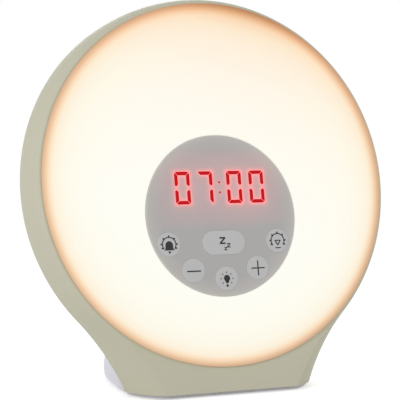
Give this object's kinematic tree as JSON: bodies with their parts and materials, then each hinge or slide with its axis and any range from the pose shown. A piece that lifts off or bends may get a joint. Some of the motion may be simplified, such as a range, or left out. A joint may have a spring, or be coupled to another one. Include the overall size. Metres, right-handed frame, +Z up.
{
  "type": "sunrise alarm clock",
  "caption": "Table alarm clock with a round glowing face on a leaning balloon-shaped housing, with a display panel, push keys, a rear speaker grille and a turning battery cover.",
  "frame": {"origin": "on the ground, under the middle of the clock's width and depth", "axes": "+Z up, the face looks along -Y and leans back, +X to the right seen from the front"},
  "size_m": [0.189, 0.118, 0.1921],
  "materials": {
    "sage_shell": "fine matt moulding",
    "pale_shell": "fine matt moulding",
    "base_plastic": "matt moulding",
    "opal": "milky, lit from behind",
    "panel_grey": "satin",
    "key_grey": "satin",
    "white_plastic": "glossy white",
    "black_plastic": "satin black",
    "segment_red": "lit red",
    "board_green": "varnished",
    "board_white": "matt white",
    "emitter": "clear over yellow",
    "steel": "plated",
    "cone": "pressed paper and cloth",
    "foam": "soft foam",
    "contact": "spring brass",
    "rubber": "matt",
    "ribbon": "flat ribbon"
  },
  "bodies": {
    "clock": {"front_housing": "sage_shell", "rear_housing": "pale_shell", "base_plate": "base_plastic", "diffuser": "opal", "display_panel": "panel_grey", "display_cup": "white_plastic", "display_module": "black_plastic", "digit_segments": "segment_red", "key_board": "board_green", "key_switches": "black_plastic", "reflector": "white_plastic", "led_board": "board_white", "led_emitters": "emitter", "chassis": "white_plastic", "chassis_screws": "steel", "main_board": "board_green", "main_board_parts": "black_plastic", "board_screws": "steel", "display_cable": "ribbon", "speaker_grille": "pale_shell", "speaker_frame": "steel", "speaker_cone": "cone", "speaker_magnet": "steel", "speaker_gasket": "foam", "rear_screws": "steel", "power_inlet": "black_plastic", "cell_holder": "black_plastic", "cell_contact": "contact", "coin_cell": "steel", "base_screws": "steel", "rubber_feet": "rubber"},
    "alarm_key": {"alarm_key": "key_grey"},
    "snooze_key": {"snooze_key": "key_grey"},
    "sunset_key": {"sunset_key": "key_grey"},
    "minus_key": {"minus_key": "key_grey"},
    "plus_key": {"plus_key": "key_grey"},
    "light_key": {"light_key": "key_grey"},
    "battery_cover": {"battery_cover": "base_plastic"}
  },
  "joints": [
    {"name": "alarm_key_press", "type": "slide", "parent": "clock", "child": "alarm_key", "axis": [0, 0.9799, -0.1994], "range_m": [0, 0.0008], "stiffness_N_per_m": 600},
    {"name": "snooze_key_press", "type": "slide", "parent": "clock", "child": "snooze_key", "axis": [0, 0.9799, -0.1994], "range_m": [0, 0.0008], "stiffness_N_per_m": 600},
    {"name": "sunset_key_press", "type": "slide", "parent": "clock", "child": "sunset_key", "axis": [0, 0.9799, -0.1994], "range_m": [0, 0.0008], "stiffness_N_per_m": 600},
    {"name": "minus_key_press", "type": "slide", "parent": "clock", "child": "minus_key", "axis": [0, 0.9799, -0.1994], "range_m": [0, 0.0008], "stiffness_N_per_m": 600},
    {"name": "plus_key_press", "type": "slide", "parent": "clock", "child": "plus_key", "axis": [0, 0.9799, -0.1994], "range_m": [0, 0.0008], "stiffness_N_per_m": 600},
    {"name": "light_key_press", "type": "slide", "parent": "clock", "child": "light_key", "axis": [0, 0.9799, -0.1994], "range_m": [0, 0.0008], "stiffness_N_per_m": 600},
    {"name": "battery_cover_turn", "type": "hinge", "parent": "clock", "child": "battery_cover", "pos_m": [0, 0.006, 0], "axis": [0, 0, 1], "range_deg": [0, 60]}
  ]
}
